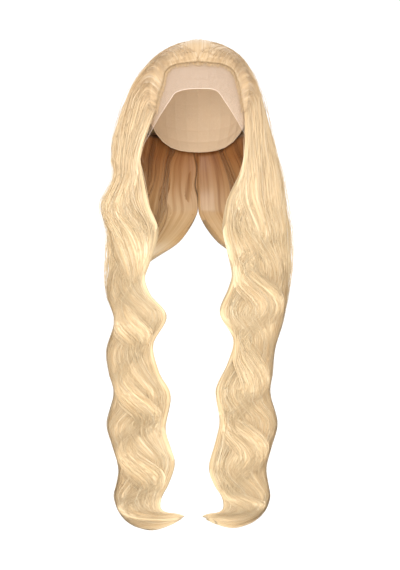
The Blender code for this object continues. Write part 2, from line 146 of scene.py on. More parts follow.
# Over which shares or angles the hair grows from its edges to its full depth
FRONT_EDGE = (-0.05, 0.22)
BACK_EDGE = (-0.05, 0.25)
NAPE_EDGE = (-0.1, 0.25)
HAIRLINE_RISE = (-0.02, 0.22)
PEAK_RISE = (-0.10, 0.12)
TEMPLE_RISE = (-0.02, 0.16)
PEAK = (0.42, 0.5)
LIFTS_OFF_DEG = 76.0
EDGE_THICK = 4.0
WAVE_LENGTH = 105.0
WAVE_DEPTH = 6.0
WAVE_FROM_Z = (-150.0, -300.0)
WAVE_CREST_Z = -306.0
FLAT_SECTION_Z = (-300.0, -400.0)
FLAT_LOSES = 0.85  # share of its sideways direction that the hair's depth loses where it hangs flat
UNDER_GAP = 3.0
NAPE_HAIR = {
    "z": (-120, -150, -175, -215, -255, -300, -365, -430, -500, -570, -640, -690),
    "front_turn": (0.56, 0.50, 0.36, 0.22, 0.17, 0.18, 0.215, 0.18, 0.16, 0.145, 0.14, 0.17),
    "thick": (6, 11, 14, 16, 17, 18, 18, 17, 16, 15, 11, 3),
}
NAPE_THINNEST = 3.0
CAP_REACHES_Z = -165.0
LAST_ROW = len(DEPTHS["turn"]) - 1
NAPE_LAST_ROW = LAST_ROW - 5

# Heights at which a layer's fibres are farthest out and nearest the midline, in turn, from the top
WAVES = {
    "left": {
        "body": (-200, -280, -349, -406, -457, -526, -571, -622, -674, -716, -760),
        "sweep": (-225, -350, -405, -452, -507, -556, -607, -660, -688, -716, -760),
    },
    "right": {
        "body": (-200, -270, -343, -399, -442, -517, -562, -628, -674, -716, -760),
        "sweep": (-285, -343, -395, -450, -510, -561, -615, -668, -692, -716, -760),
    },
}
HAND = {"left": 1.0, "right": -1.0}  # which way round the waves turn over each other
LIMITS = {"sweep": (0.015, 1.02), "body": (0.01, 1.98)}  # places across that a layer keeps to
CROWDING = 0.12  # how near its limits a fibre begins to be held back
LEAST_FRONT = 20.0  # arc that widths near the tips are still shared over
BODY_WAVES_Z = (-130.0, -260.0)
BODY_SWING = 0.13  # swing of the body's fibres inside the outline, as a share of the front
BODY_LAG = 0.9  # how far the outer fibres lag behind the inner ones, in radians
CALM_SIDE = 0.85  # the right side hangs nearly straight at its outer edge
CALM_ACROSS = (0.45, 0.8)
CALM_ENDS_Z = (-430.0, -500.0)

# The front sweep
SWEEP_SWING = 0.25
SWEEP_LAG = 0.35
SWEEP_LEVEL = 4.5  # depth of the sweep's edges under the surface
SWEEP_UNDERSIDE = SWEEP_LEVEL + 4.0
SWEEP_DOME = 6.0  # how much higher its middle lies
SWEEP_WEAVE = 4.5  # how far its middle rises and dips with each wave
SWEEP_TOP = 0.46
SWEEP_SPREAD = 0.30
SWEEP_PINCH = 0.5  # how far the sweep draws together where it is nearest the midline
SWEEP_MIDDLE = {"left": 0.42, "right": 0.34}
SWEEP_SINKS = 0.8  # how much deeper than the locks it lies on the crown
SWEEP_FIBRES = 28.0  # half the width of its fibre map
SWEEP_FURROWS = ((0.35, 31.0, 0.0), (0.3, 17.0, 1.0), (0.3, 53.0, 2.0))  # height, turns across, start

# Locks, and how they lie on the crown
LOCK_WIDTH = 17.0
LOCK_THICK = 2.4
LOCK_DEPTH = 3.9
LOCK_WEAVE = 2.5  # how far locks and fine hairs rise and dip with each wave
LOCK_SWELL = 0.18  # how much wider and narrower a lock gets along its run
SWELL_RUN = 61.0
FURROW = 0.08
DEEPEST_LOCK = 0.7  # depth that locks stay short of, as a share of the hair's thickness
CROWN_CALM = 0.6  # how much flatter the locks lie on the crown
CROWN_LEVEL = 2.2
CROWN_ENDS_Z = (-210.0, -110.0)

# Hair combed straight back over the middle of the crown
MIDDLE_HALF = 27.0
MIDDLE_LIFT = -1.0
MIDDLE_LEAVES_DEG = 97.0  # angle from the top at which it leaves the dome and falls
MIDDLE_RADIUS = 92.0
MIDDLE_OVER = 190.0  # run over the dome
MIDDLE_ROUND = 3.6  # how much deeper its outermost locks lie
MIDDLE_RUN = 340.0  # length of its fibre map
MIDDLE_TIPS_Z = (-235.0, -170.0)
MIDDLE_DIVE = 11.0  # how far its tips go under the hair of the two sides

# Fine hairs
FINE_ROWS = 60
FINE_RADIUS = 0.42
WISP_RADIUS = 0.32
ROOT_RADIUS = 0.48
ROOT_DEPTH = 0.8
ROOT_RUN = 8.0  # millimetres of fibre map to a row of the sheet, at the roots
INNER_WISPS = 0.35  # share of the wisps that stand off the front edge
STRAY_PART = 0.1  # share of the fine hairs that have come loose from the waves
STRAY_WANDER = 0.05
STRAY_LIFT = 3.0
STRAY_LIFTS_Z = (-60.0, -300.0)

# Distance on the fibre map from one tube of hair to the next, so that each has its own streaks
LOCK_STEP = 37.0
MIDDLE_STEP = 29.0
HAIR_STEP = 3.1

# The white floor, in metres
FLOOR_HALF = 60.0
FLOOR_Z = -0.80

# The photograph: millimetres to a pixel, and its middle in the wig's frame
MM_PER_PIXEL = 1.5
PHOTO_HEIGHT = 570
VIEW_MIDDLE = (3.0, -30.0, -359.0)
VIEW_DISTANCE = 3.2

# How finely the hair's guiding surfaces are laid out
CROWN_ROWS = 24
LENGTH_ROWS = 190
ACROSS = 48


def hermite(xs, ys, i, value):
    """Cubic between two rows of a table, held flat at a wave's peak."""
    def slope(k):
        if k == 0 or k == len(xs) - 1:
            return 0.0
        before = (ys[k] - ys[k - 1]) / (xs[k] - xs[k - 1])
        after = (ys[k + 1] - ys[k]) / (xs[k + 1] - xs[k])
        if before * after <= 0.0:
            return 0.0
        return 2.0 * before * after / (before + after)

    width = xs[i + 1] - xs[i]
    u = (value - xs[i]) / width
    a, b = slope(i) * width, slope(i + 1) * width
    return ((2 * u**3 - 3 * u**2 + 1) * ys[i] + (u**3 - 2 * u**2 + u) * a
            + (3 * u**2 - 2 * u**3) * ys[i + 1] + (u**3 - u**2) * b)


def read(xs, ys, value):
    """A smooth value read from two columns, flat past their ends."""
    if xs[-1] < xs[0]:
        xs, ys = xs[::-1], ys[::-1]
    if value <= xs[0]:
        return float(ys[0])
    if value >= xs[-1]:
        return float(ys[-1])
    i = max(k for k in range(len(xs) - 1) if xs[k] <= value)
    return hermite(xs, ys, i, value)


def table(rows, key, column, value):
    return read(rows[key], rows[column], value)


def by_row(rows, column, place):
    return read(tuple(range(len(rows[column]))), rows[column], place)


def blend(low, high, value):
    u = np.clip((np.asarray(value, float) - low) / (high - low), 0.0, 1.0)
    return u * u * (3.0 - 2.0 * u)


def step_up(low, high, value):
    return float(blend(low, high, value))


def direction(angle_deg, around_deg):
    angle, around = math.radians(angle_deg), math.radians(around_deg)
    return Vector((math.sin(angle) * math.sin(around), -math.sin(angle) * math.cos(around), math.cos(angle)))


def dome_reach(unit, offset=0.0):
    total = sum(abs(unit[k] / (DOME_HALF[k] + offset)) ** DOME_POWER for k in range(3))
    return total ** (-1.0 / DOME_POWER)


def on_dome(x, z):
    left = 1.0 - abs(x / DOME_HALF.x) ** DOME_POWER - abs((z - DOME_CENTRE.z) / DOME_HALF.z) ** DOME_POWER
    return Vector((x, DOME_CENTRE.y - DOME_HALF.y * max(left, 0.0) ** (1.0 / DOME_POWER), z))


def angle_at_height(around_deg, z):
    low, high = 5.0, 150.0
    for _ in range(30):
        middle = 0.5 * (low + high)
        unit = direction(middle, around_deg)
        if DOME_CENTRE.z + unit.z * dome_reach(unit) > z:
            low = middle
        else:
            high = middle
    return 0.5 * (low + high)


def dome_chart(hairline, share):
    point = on_dome(table(hairline, "share", "x", share), table(hairline, "share", "z", share))
    unit = (point - DOME_CENTRE).normalized()
    return Vector((unit.x, unit.y)).normalized() * math.degrees(math.acos(unit.z)) / DOME_END_DEG


def dome_place(hairline, share, step):
    """Place on the dome's flat chart of a lock, from its root at step 0 to the crown's edge at step 1."""
    first = dome_chart(hairline, 0.0)
    front_turn = math.degrees(math.atan2(first.x, -first.y))
    around = math.radians(front_turn + (180.0 - front_turn) * share)
    end = Vector((math.sin(around), -math.cos(around)))
    if share <= 0.5:
        root = dome_chart(hairline, share)
    else:
        start = dome_chart(hairline, 0.5).y
        root = Vector((0.0, start + (BACK_ROOT - start) * (share - 0.5) / 0.5))
    bend = root + Vector((table(LIFT, "share", "side", share), table(LIFT, "share", "back", share)))
    return root * (1 - step) ** 2 + bend * 2 * step * (1 - step) + end * step**2


def crown_depth(angle_deg, around_deg, side):
    across = math.sin(math.radians(around_deg)) ** 2
    fore = "front" if around_deg < 90.0 else "back"
    return (table(CROWN_DEPTH, "angle_deg", side, angle_deg) * across
            + table(CROWN_DEPTH, "angle_deg", fore, angle_deg) * (1.0 - across))


def length_thickness(side, share, place):
    across = math.sin(math.pi * share) ** 2 if share > 0.5 else 1.0
    thick = (by_row(DEPTHS, "thick_side", place) * FULLNESS[side] * across
             + by_row(DEPTHS, "thick_back", place) * (1.0 - across))
    thick *= step_up(*FRONT_EDGE, share)
    loose_end = 1.0 - by_row(DEPTHS, "turn", place)
    if loose_end > 0.0:
        thick *= 1.0 - (1.0 - step_up(*BACK_EDGE, 1.0 - share)) * step_up(0.0, 0.2, loose_end)
    return max(thick, EDGE_THICK)


def crown_pair(side, share, step):
    """Outer and inner point of the crown hair, for the side of positive X."""
    flat = dome_place(HAIRLINE[side], share, step)
    angle = min(flat.length, 1.0) * DOME_END_DEG
    around = math.degrees(math.atan2(flat.x, -flat.y))
    unit = direction(angle, around)
    seat = dome_reach(unit, SEAT_OFFSET)
    full = dome_reach(unit) + crown_depth(angle, around, side) - seat
    if share <= 0.5:
        middle = step_up(*PEAK, share)
        edge = step_up(*HAIRLINE_RISE, step) * (1.0 - middle) + step_up(*PEAK_RISE, step) * middle
        full = EDGE_THICK * 0.5 + (full - EDGE_THICK * 0.5) * max(edge, 0.0)
    full = EDGE_THICK * 0.5 + (full - EDGE_THICK * 0.5) * step_up(*TEMPLE_RISE, share)
    lift = max(0.0, full - length_thickness(side, share, 0.0)) * step_up(LIFTS_OFF_DEG, DOME_END_DEG, angle)
    return DOME_CENTRE + unit * (seat + full), DOME_CENTRE + unit * (seat + lift)


def length_row(side, place):
    """What is the same for a whole row of the lengths."""
    rows = LENGTHS[side]
    row = {name: by_row(rows, name, place) for name in ("x_in", "x_out", "z_in", "z_out")}
    row.update({name: by_row(DEPTHS, name, place) for name in ("y_in", "y_side", "y_back", "turn")})
    row["edge"] = math.asin(min(0.98, row["x_in"] / row["x_out"]))
    row["last"] = math.pi * row["turn"]
    return row


def length_point(row, turn, depth):
    """Point at a turn round from the middle of the front, a depth under the surface of the lengths."""
    reach = (row["y_side"] - row["y_in"]) / math.cos(row["edge"])
    if turn > math.pi / 2:
        reach = row["y_back"] - row["y_side"]
    along = min(1.0, max(0.0, (turn - row["edge"]) / (row["last"] - row["edge"])))
    z = row["z_in"] + (row["z_out"] - row["z_in"]) * along
    flat = step_up(*FLAT_SECTION_Z, z)
    inward = Vector((-math.sin(turn) * (1 - FLAT_LOSES * flat), math.cos(turn) * (1 - flat) + flat, 0.0))
    wave = WAVE_DEPTH * step_up(*WAVE_FROM_Z, z) * math.cos(2.0 * math.pi * (z - WAVE_CREST_Z) / WAVE_LENGTH)
    surface = Vector((row["x_out"] * math.sin(turn), row["y_side"] - reach * math.cos(turn) - wave, z))
    return surface + inward * depth


class Sheet:
    """A guiding surface of the hair: rows run from root to tip, columns from the front round to the back."""

    def __init__(self, outer, inner, side_share):
        self.outer = outer
        self.rows, self.columns = self.outer.shape[:2]
        inward = inner - outer
        self.thick = np.linalg.norm(inward, axis=2)
        self.inward = inward / np.maximum(self.thick, 1e-6)[..., None]
        middle = self.outer[:, self.columns // 2]
        steps = np.linalg.norm(np.diff(middle, axis=0), axis=1)
        self.run = np.concatenate([[0.0], np.cumsum(steps)])
        gaps = np.linalg.norm(np.diff(self.outer, axis=1), axis=2)
        self.wide = gaps.sum(axis=1)
        self.side_share = np.array(side_share, float)
        front = np.arange(self.columns - 1)[None, :] / (self.columns - 1) < self.side_share[:, None]
        self.front = np.maximum((gaps * front).sum(axis=1), LEAST_FRONT)

    def front_width(self, row):
        """Arc in millimetres from the front edge to the outermost side."""
        return np.interp(row, np.arange(self.rows), self.front)

    def share(self, row, place):
        """Share of the sheet at a place: 0 at the front edge, 1 at the outermost side, 2 at the back edge."""
        side = np.interp(row, np.arange(self.rows), self.side_share)
        return np.where(place < 1.0, place * side, side + (place - 1.0) * (1.0 - side))

    def place_at(self, run):
        return np.interp(run, self.run, np.arange(self.rows))

    def look_up(self, values, row, share):
        row = np.clip(row, 0, self.rows - 1.001)
        column = np.clip(share, 0.0, 1.0) * (self.columns - 1.001)
        i, j = row.astype(int), column.astype(int)
        a, b = row - i, column - j
        if values.ndim == 3:
            a, b = a[..., None], b[..., None]
        return ((values[i, j] * (1 - b) + values[i, j + 1] * b) * (1 - a)
                + (values[i + 1, j] * (1 - b) + values[i + 1, j + 1] * b) * a)

    def point(self, row, share, depth):
        """Points at depths under the surface."""
        return self.look_up(self.outer, row, share) + self.look_up(self.inward, row, share) * depth[..., None]

    def within(self, row, share, depth):
        """Points at depths under the surface, drawn together softly short of the inner side."""
        room = DEEPEST_LOCK * self.look_up(self.thick, row, share)
        return self.point(row, share, np.where(depth > 0.0, room * np.tanh(depth / room), depth))

    def rings(self, row, places, depth):
        """Points of the rings down a tube, from their places across and their depths."""
        row = np.repeat(row[:, None], places.shape[1], axis=1)
        return self.within(row, self.share(row, places), depth)

    def height(self, row):
        return self.look_up(self.outer, row, np.full_like(row, 0.5))[..., 2]


def ease_joint(rows):
    """Smooths the bend where the crown passes into the hanging lengths."""
    rows = np.array(rows, float)
    first, last = CROWN_ROWS - 4, CROWN_ROWS + 14
    for _ in range(60):
        both_sides = rows[first - 1:last - 1] + rows[first + 1:last + 1]
        rows[first:last] = 0.5 * rows[first:last] + 0.25 * both_sides
    return rows


def outer_sheet(side):
    """Crown and lengths as one sheet, from the roots to the tips."""
    shares = np.linspace(0.0, 1.0, ACROSS + 1)
    first = length_row(side, 0.0)
    side_share = [(math.pi / 2 - first["edge"]) / (first["last"] - first["edge"])] * (CROWN_ROWS + 1)
    pairs = [[crown_pair(side, s, j / CROWN_ROWS) for s in shares] for j in range(CROWN_ROWS + 1)]
    for j in range(LENGTH_ROWS + 1):
        place = LAST_ROW * j / LENGTH_ROWS
        row = length_row(side, place)
        side_share.append(min(1.0, (math.pi / 2 - row["edge"]) / (row["last"] - row["edge"])))
        pairs.append([])
        for s in shares:
            turn = row["edge"] + (row["last"] - row["edge"]) * s
            thick = length_thickness(side, s, place)
            pairs[-1].append((length_point(row, turn, 0.0), length_point(row, turn, thick)))
    pairs = ease_joint(pairs)
    return Sheet(pairs[:, :, 0], pairs[:, :, 1], side_share)


def outside_cap(point):
    ray = point - DOME_CENTRE
    return DOME_CENTRE + ray.normalized() * max(ray.length, dome_reach(ray.normalized(), SEAT_OFFSET))


def nape_sheet(side):
    """The under hair as a sheet whose surface is its inner side."""
    shares = np.linspace(0.0, 1.0, ACROSS // 2 + 1)
    pairs = []
    for j in range(LENGTH_ROWS // 2 + 1):
        place = NAPE_LAST_ROW * j / (LENGTH_ROWS // 2)
        row = length_row(side, place)
        first = math.pi * table(NAPE_HAIR, "z", "front_turn", row["z_out"])
        body = table(NAPE_HAIR, "z", "thick", row["z_out"])
        pairs.append([])
        for s in shares:
            turn = first + (row["last"] - first) * s
            over = min(1.0, max(0.0, (turn - row["edge"]) / (row["last"] - row["edge"])))
            top = length_thickness(side, over, place) + UNDER_GAP
            loose = 1.0 if row["turn"] > 0.99 else step_up(*NAPE_EDGE, 1.0 - s)
            thick = max(NAPE_THINNEST, body * min(step_up(*NAPE_EDGE, s), loose))
            pair = [length_point(row, turn, top), length_point(row, turn, top + thick)]
            if row["z_out"] > CAP_REACHES_Z:
                pair = [outside_cap(p) for p in pair]
            pairs[-1].append(pair)
    pairs = np.array(pairs, float)
    return Sheet(pairs[:, :, 1], pairs[:, :, 0], [0.5] * len(pairs))


def grid(name, columns, rows):
    """A flat grid of so many vertices across and up, with the column and row of each vertex."""
    bm = bmesh.new()
    bmesh.ops.create_grid(bm, x_segments=columns - 1, y_segments=rows - 1, size=1.0)
    mesh = bpy.data.meshes.new(name)
    bm.to_mesh(mesh)
    bm.free()
    flat = np.zeros(len(mesh.vertices) * 3)
    mesh.vertices.foreach_get("co", flat)
    flat = flat.reshape(-1, 3)
    column = np.rint((flat[:, 0] + 1.0) / 2.0 * (columns - 1)).astype(int)
    row = np.rint((flat[:, 1] + 1.0) / 2.0 * (rows - 1)).astype(int)
    return mesh, column, row


def drape(mesh, points, chart_name, chart, value_name, values):
    """Moves a grid's vertices to their points, and adds a map in millimetres and one value a vertex."""
    mesh.vertices.foreach_set("co", (points * MM).astype(np.float32).ravel())
    corner = np.zeros(len(mesh.loops), np.int32)
    mesh.loops.foreach_get("vertex_index", corner)
    mesh.uv_layers.new(name=chart_name).data.foreach_set("uv", chart[corner].astype(np.float32).ravel())
    attribute = mesh.attributes.new(value_name, "FLOAT", "POINT")
    attribute.data.foreach_set("value", values.astype(np.float32))


def put(name, data):
    made = bpy.data.objects.new(name, data)
    bpy.context.scene.collection.objects.link(made)
    return made


def put_piece(name, mesh, material):
    """A finished piece of the wig, which rides on its one body."""
    mesh.shade_smooth()
    mesh.materials.append(material)
    made = put(name, mesh)
    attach(made, "root")
    return made


def keep_side(points, side):
    """Points kept on their own side of the midline, and mirrored for the side of negative X."""
    points = points.copy()
    points[..., 0] = np.maximum(points[..., 0], 0.0)
    if side == "left":
        points[..., 0] *= -1.0
    return points


class Tubes:
    """Closed tubes of hair that are laid one by one and become one mesh.
    across and along are millimetres for the fibre map, round a tube and down it."""

    def __init__(self, count, rows, around):
        self.rings = np.zeros((count, rows, around + 1, 3))
        self.across = np.zeros((count, rows, around + 1))
        self.along = np.zeros((count, rows))
        self.turn = np.linspace(0.0, 2.0 * np.pi, around + 1)
        self.down = np.linspace(0.0, 1.0, rows)

    def lay(self, n, rings, across, along):
        self.rings[n] = rings
        self.across[n] = across
        self.along[n] = along

    def make(self, name, side, tone, material):
        """The mesh, with one shade of the hair for each tube."""
        self.rings[:, :, -1] = self.rings[:, :, 0]
        rings = keep_side(self.rings, side) if side else self.rings
        count, rows, around = rings.shape[:3]
        mesh, column, row = grid(name, count * around, rows)
        tube, place = column // around, column % around
        fibre = np.stack([self.across[tube, row, place], self.along[tube, row]], axis=1)
        drape(mesh, rings[tube, row, place], "fibre", fibre, "tone", tone[tube])
        bm = bmesh.new()
        bm.from_mesh(mesh)
        bm.verts.ensure_lookup_table()
        joins = [f for f in bm.faces if len({tube[v.index] for v in f.verts}) > 1]
        bmesh.ops.delete(bm, geom=joins, context="FACES_ONLY")
        bmesh.ops.remove_doubles(bm, verts=bm.verts, dist=2e-7)
        bmesh.ops.dissolve_degenerate(bm, edges=bm.edges, dist=1e-8)
        bmesh.ops.recalc_face_normals(bm, faces=bm.faces)
        bm.to_mesh(mesh)
        bm.free()
        return put_piece(name, mesh, material)


def phase_at(side, layer, z):
    """Turn of a layer's wave at a height: 0 where its fibres are farthest out, half a turn nearest in."""
    knots = WAVES[side][layer]
    turns = np.pi * np.arange(len(knots))
    return np.interp(-np.asarray(z), [-k for k in knots], turns)


def body_path(side, place, z, jitter):
    """Place across of a fibre in the body of the hair, that waves with the outline."""
    phase = phase_at(side, "body", z) - BODY_LAG * place + jitter
    grow = blend(*BODY_WAVES_Z, z)
    calm = 1.0
    if side == "right":
        calm = 1.0 - CALM_SIDE * float(blend(*CALM_ACROSS, place)) * (1.0 - blend(*CALM_ENDS_Z, z))
    room = np.clip(4.0 * place * (2.0 - place) / 3.0, 0.0, 1.0)
    centre = place + BODY_SWING * grow * calm * room * np.cos(phase)
    return centre, grow * calm * HAND[side] * np.sin(phase), np.ones_like(z)


def sweep_path(side, place, z, jitter):
    """Place across of a fibre of the front sweep, which crosses the body against its wave."""
    phase = phase_at(side, "sweep", z) - SWEEP_LAG * HAND[side] * place + jitter
    grow = blend(*WAVE_FROM_Z, z)
    gather = 1.0 - grow * SWEEP_PINCH * (0.5 - 0.5 * np.cos(phase))
    spread = (SWEEP_TOP + (SWEEP_SPREAD - SWEEP_TOP) * grow) * gather
    centre = SWEEP_MIDDLE[side] + place * spread + SWEEP_SWING * grow * np.cos(phase)
    return centre, grow * HAND[side] * np.sin(phase + 0.5), gather


def sweep_dome(place):
    """How far up the dome of the front sweep a place across it lies, from 0 at its edges to 1."""
    return math.sqrt(max(0.0, 1.0 - place**2))


def soft_limits(place, low, high):
    """Keeps a place between limits, crowding together softly near them."""
    under = low + CROWDING * np.exp(np.minimum((place - low - CROWDING) / CROWDING, 0.0))
    place = np.where(place < low + CROWDING, under, place)
    over = high - CROWDING * np.exp(np.minimum((high - CROWDING - place) / CROWDING, 0.0))
    return np.where(place > high - CROWDING, over, place)


def lay(sheet, side, lock, rows):
    """Guide of a lock down a sheet: rows, run, place across, rise, and how wide it spreads."""
    run = np.linspace(lock["from"], lock["to"], rows)
    row = sheet.place_at(run)
    z = sheet.height(row)
    path = sweep_path if lock["layer"] == "sweep" else body_path
    centre, rise, gather = path(side, lock["place"], z, lock["jitter"])
    wander = lock["wander"] * np.sin(run / lock["wander_run"] + 5.0 * lock["jitter"])
    return row, run, soft_limits(centre + wander, *LIMITS[lock["layer"]]), rise, gather


def calm_crown(sheet, row):
    """1 down the lengths, less on the crown, where the locks lie flatter."""
    return 1.0 - CROWN_CALM * blend(*CROWN_ENDS_Z, sheet.height(row))


def taper(u, root, tip):
    """Share of a hair's full thickness along it, pointed over its first and last parts."""
    return np.clip(np.minimum(u / root, (1.0 - u) / tip), 0.0, 1.0)


def flat_round(turn):
    """Height round the flattened outline of a lock."""
    return np.sin(turn) * np.abs(np.sin(turn)) ** 0.6


def unit_rows(vectors):
    return vectors / np.linalg.norm(vectors, axis=1)[:, None]


def locks(name, sheet, side, plan, material, around=16, rows=110):
    """Locks that lie along a sheet, each a flattened tube with fine furrows, pointed at both ends."""
    hair = Tubes(len(plan), rows, around)
    rng = np.random.default_rng(SEED + len(name) + len(plan))
    for n, lock in enumerate(plan):
        row, run, centre, rise, gather = lay(sheet, side, lock, rows)
        ends = np.sqrt(taper(hair.down, lock["root_taper"], lock["tip_taper"]))
        swell = 1.0 + LOCK_SWELL * np.sin(run / SWELL_RUN + lock["jitter"] * 9.0)
        half = lock["width"] * 0.5 * gather * swell / sheet.front_width(row) * ends
        smooth = calm_crown(sheet, row)
        thick = lock["thick"] * 0.5 * ends / np.sqrt(gather) * smooth
        furrow = 1.0 + FURROW * rng.standard_normal(around + 1)
        furrow[-1] = furrow[0]
        places = centre[:, None] + np.cos(hair.turn)[None, :] * half[:, None]
        level = CROWN_LEVEL + (lock["depth"] - CROWN_LEVEL) * smooth - lock["weave"] * rise
        lift = (flat_round(hair.turn) * furrow)[None, :] * thick[:, None]
        hair.lay(n, sheet.rings(row, places, level[:, None] - lift),
                 np.cos(hair.turn)[None, :] * lock["width"] * 0.5 + LOCK_STEP * n, run)
    return hair.make(name, side, np.array([lock["tone"] for lock in plan]), material)


def plan_locks(rng, layer, places, total, **over):
    """Locks of one layer at places across, each a little different from the next."""
    gap = (places[-1] - places[0]) / (len(places) - 1)
    plan = []
    for place in places:
        lock = {
            "layer": layer,
            "place": place + rng.uniform(-0.2, 0.2) * gap,
            "from": 0.0,
            "to": total * rng.uniform(0.992, 1.0),
            "width": LOCK_WIDTH * rng.uniform(0.8, 1.25),
            "thick": LOCK_THICK * rng.uniform(0.85, 1.15),
            "depth": LOCK_DEPTH + rng.uniform(-0.6, 0.9),
            "weave": LOCK_WEAVE * rng.uniform(0.6, 1.2),
            "jitter": rng.normal(0.0, 0.16),
            "wander": rng.uniform(0.0, 0.02),
            "wander_run": rng.uniform(50.0, 110.0),
            "root_taper": 0.008,
            "tip_taper": 0.035,
            "tone": rng.uniform(-1.0, 1.0),
        }
        lock.update(over)
        plan.append(lock)
    return plan


def tress(name, sheet, side, material):
    """The body of the front sweep: one domed band with furrows, whose fibres keep together."""
    around, rows = 60, 150
    half = around // 2
    places = np.concatenate([np.linspace(-1.0, 1.0, half + 1), np.linspace(1.0, -1.0, half + 1)[1:]])
    run = np.linspace(0.0, sheet.run[-1], rows)
    row = sheet.place_at(run)
    z = sheet.height(row)
    smooth = calm_crown(sheet, row)
    rings = np.zeros((rows, around + 1, 3))
    for k, place in enumerate(places):
        centre, rise, _ = sweep_path(side, place, z, 0.0)
        dome = sweep_dome(place)
        furrow = 0.0
        for height, turns, start in SWEEP_FURROWS:
            furrow += height * math.sin(place * turns + start)
        level = SWEEP_LEVEL - dome * (SWEEP_DOME + SWEEP_WEAVE * rise) + furrow * dome
        level = CROWN_LEVEL + SWEEP_SINKS + (level - CROWN_LEVEL - SWEEP_SINKS) * smooth
        if k > half:
            level = np.full(rows, SWEEP_UNDERSIDE)
        level[[0, -1]] = SWEEP_LEVEL
        rings[:, k] = sheet.within(row, sheet.share(row, soft_limits(centre, *LIMITS["sweep"])), level)
    hair = Tubes(1, rows, around)
    hair.lay(0, rings, places * SWEEP_FIBRES, run)
    return hair.make(name, side, np.array([0.2]), material)


def core(name, sheet, side, depth, material, around=64, rows=150):
    """The body of the hair under the locks: one closed band with furrows along the fibres."""
    half = around // 2
    shares = np.concatenate([np.linspace(0.0, 1.0, half + 1), np.linspace(1.0, 0.0, half + 1)[1:]])
    run = np.linspace(0.0, sheet.run[-1] * 0.985, rows)
    rows_2d = np.repeat(sheet.place_at(run)[:, None], around + 1, axis=1)
    shares_2d = np.repeat(shares[None, :], rows, axis=0)
    thick = sheet.look_up(sheet.thick, rows_2d, shares_2d)
    furrow = 0.8 * np.sin(shares * 90.0) + 0.6 * np.sin(shares * 37.0 + 1.0)
    under = np.minimum(depth + furrow[None, :], 0.45 * thick)
    far = thick - np.minimum(1.0, 0.2 * thick)
    back = np.arange(around + 1)[None, :] > half
    level = np.where(back, far, under)
    level[:, [0, half, -1]] = (0.5 * thick)[:, [0, half, -1]]
    level[[0, -1]] = (0.5 * thick)[[0, -1]]
    hair = Tubes(1, rows, around)
    hair.lay(0, sheet.point(rows_2d, shares_2d, level), shares * sheet.wide.mean(), run)
    # The fixed tone of -0.6 darkens the band a little more: painted shade under the locks
    return hair.make(name, side, np.array([-0.6]), material)


def hair_rings(hair, sheet, row, centre, depth, size):
    """Rings of one thin hair round its guide."""
    places = centre[:, None] + np.cos(hair.turn)[None] * size[:, None] / sheet.front_width(row)[:, None]
    return sheet.rings(row, places, depth[:, None] - np.sin(hair.turn)[None] * size[:, None])


def strands(name, sheet, side, count, material, seed, sweep_part=0.5):
    """Fine hairs just over the locks, each a thin three-sided tube."""
    rng = np.random.default_rng(seed)
    hair = Tubes(count, FINE_ROWS, 3)
    for n in range(count):
        sweep = rng.random() < sweep_part
        lock = {
            "layer": "sweep" if sweep else "body",
            "place": rng.uniform(-1.0, 1.0) if sweep else rng.uniform(0.0, 1.5) ** 1.1,
            "from": rng.uniform(0.0, 0.35) * sheet.run[-1] if rng.random() < 0.4 else 0.0,
            "to": sheet.run[-1] * rng.uniform(0.94, 1.0),
            "jitter": rng.normal(0.0, 0.22),
            "wander": rng.uniform(0.0, 0.03),
            "wander_run": rng.uniform(30.0, 90.0),
        }
        stray = rng.random() < STRAY_PART
        if stray:
            lock["wander"] = STRAY_WANDER
        row, run, centre, rise, _ = lay(sheet, side, lock, FINE_ROWS)
        if sweep:
            dome = sweep_dome(lock["place"])
            depth = SWEEP_LEVEL - dome * (SWEEP_DOME + SWEEP_WEAVE * rise) - rng.uniform(0.6, 1.6)
        else:
            depth = rng.uniform(0.0, 1.6) - LOCK_WEAVE * rise
        top = CROWN_LEVEL - rng.uniform(0.9, 1.5)
        off = STRAY_LIFT * stray * blend(*STRAY_LIFTS_Z, sheet.height(row))
        depth = top + (depth - top) * calm_crown(sheet, row) - off
        size = FINE_RADIUS * rng.uniform(0.6, 1.3) * taper(hair.down, 0.03, 0.06)
        hair.lay(n, hair_rings(hair, sheet, row, centre, depth, size), HAIR_STEP * n, run)
    return hair.make(name, side, rng.uniform(-1.0, 1.0, count), material)


def edge_wisps(name, sheet, side, count, material, seed):
    """Loose fine hairs that stand a little off the edges of a length."""
    rng = np.random.default_rng(seed)
    hair = Tubes(count, FINE_ROWS, 3)
    u = hair.down
    for n in range(count):
        start = rng.uniform(0.1, 0.86) * sheet.run[-1]
        run = np.linspace(start, min(sheet.run[-1] * 0.97, start + rng.uniform(90.0, 300.0)), FINE_ROWS)
        row = sheet.place_at(run)
        inner = rng.random() < INNER_WISPS
        centre = rng.uniform(0.02, 0.08) if inner else rng.uniform(0.86, 1.1)
        centre = centre + rng.uniform(0.0, 0.1) * np.sin(3.0 * u)
        off = rng.uniform(1.0, 6.0) * np.sin(np.pi * u) * (1.0 + 0.4 * np.sin(run / rng.uniform(14.0, 30.0)))
        size = WISP_RADIUS * np.sin(np.pi * u) ** 0.5
        rings = hair_rings(hair, sheet, row, centre, 1.0 - off * (not inner), size)
        rings[:, :, 0] -= off[:, None] * inner
        hair.lay(n, rings, HAIR_STEP * n, run)
    return hair.make(name, side, rng.uniform(0.0, 1.0, count), material)


